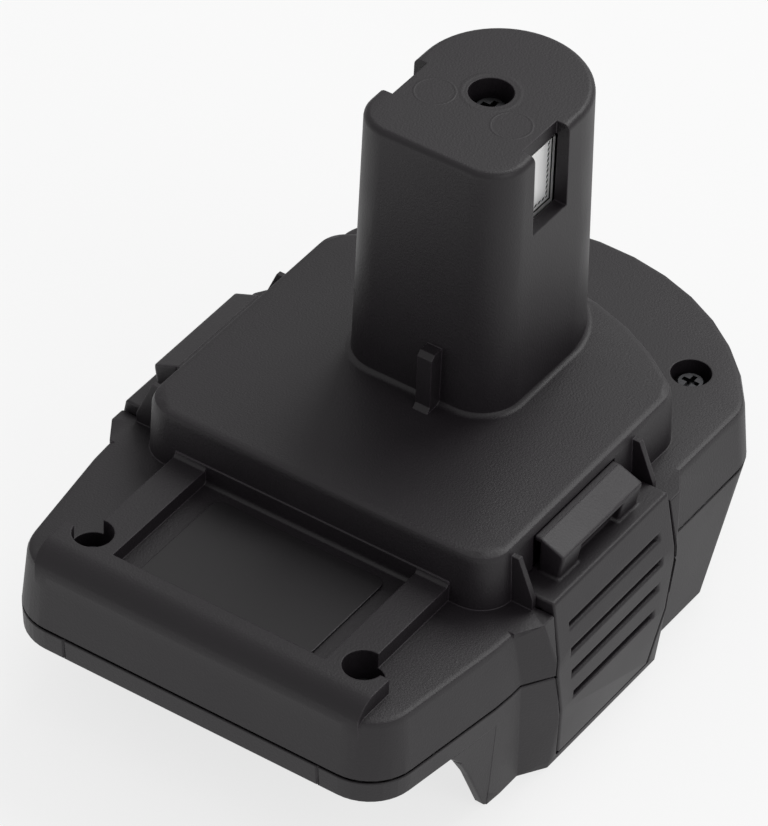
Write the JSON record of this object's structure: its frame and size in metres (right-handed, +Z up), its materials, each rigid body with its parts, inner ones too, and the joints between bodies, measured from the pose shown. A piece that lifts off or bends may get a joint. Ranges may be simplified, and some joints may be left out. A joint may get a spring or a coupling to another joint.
{
  "type": "tool battery adapter",
  "caption": "Black moulded adapter with a stem plug on a stepped deck, sprung side latches and a slide-on battery bay below.",
  "frame": {"origin": "centre of the bounding box's underside, on the surface that the skirts stand on", "axes": "+Z up along the stem, +Y towards the round end, +X towards the right latch"},
  "size_m": [0.088, 0.1253, 0.0943],
  "materials": {
    "case_plastic": "fine spark-eroded texture, matte",
    "latch_plastic": "matte, slightly lighter than the case",
    "label": "bare satin film",
    "carrier_plastic": "plain moulded",
    "spring_steel": "drawn wire",
    "nickel": "nickel plate with fine ribs",
    "screw_steel": "blackened steel",
    "board": "solder mask",
    "blade_brass": "stamped",
    "black_insulation": "smooth insulation",
    "red_insulation": "smooth insulation"
  },
  "bodies": {
    "case": {"lower_shell": "case_plastic", "upper_shell": "case_plastic", "label_plate": "label", "left_latch_spring": "spring_steel", "right_latch_spring": "spring_steel", "contact_carrier": "carrier_plastic", "left_contact": "nickel", "right_contact": "nickel", "stem_screw": "screw_steel", "front_left_case_screw": "screw_steel", "front_right_case_screw": "screw_steel", "rear_left_case_screw": "screw_steel", "rear_right_case_screw": "screw_steel", "circuit_board": "board", "front_board_screw": "screw_steel", "rear_board_screw": "screw_steel", "terminal_block": "carrier_plastic", "left_power_blade": "blade_brass", "right_power_blade": "blade_brass", "signal_blade": "blade_brass", "left_lead": "black_insulation", "right_lead": "red_insulation"},
    "left_latch": {"left_latch": "latch_plastic"},
    "right_latch": {"right_latch": "latch_plastic"}
  },
  "joints": [
    {"name": "left_latch_press", "type": "hinge", "parent": "case", "child": "left_latch", "pos_m": [-0.0402, -0.0053, 0.004], "axis": [0, 1, 0], "range_deg": [0, 3.8], "stiffness_Nm_per_rad": 0.8, "springref_deg": -2.29, "deforming": ["left_latch_spring"]},
    {"name": "right_latch_press", "type": "hinge", "parent": "case", "child": "right_latch", "pos_m": [0.0402, -0.0053, 0.004], "axis": [0, -1, 0], "range_deg": [0, 3.8], "stiffness_Nm_per_rad": 0.8, "springref_deg": -2.29, "deforming": ["right_latch_spring"]}
  ]
}
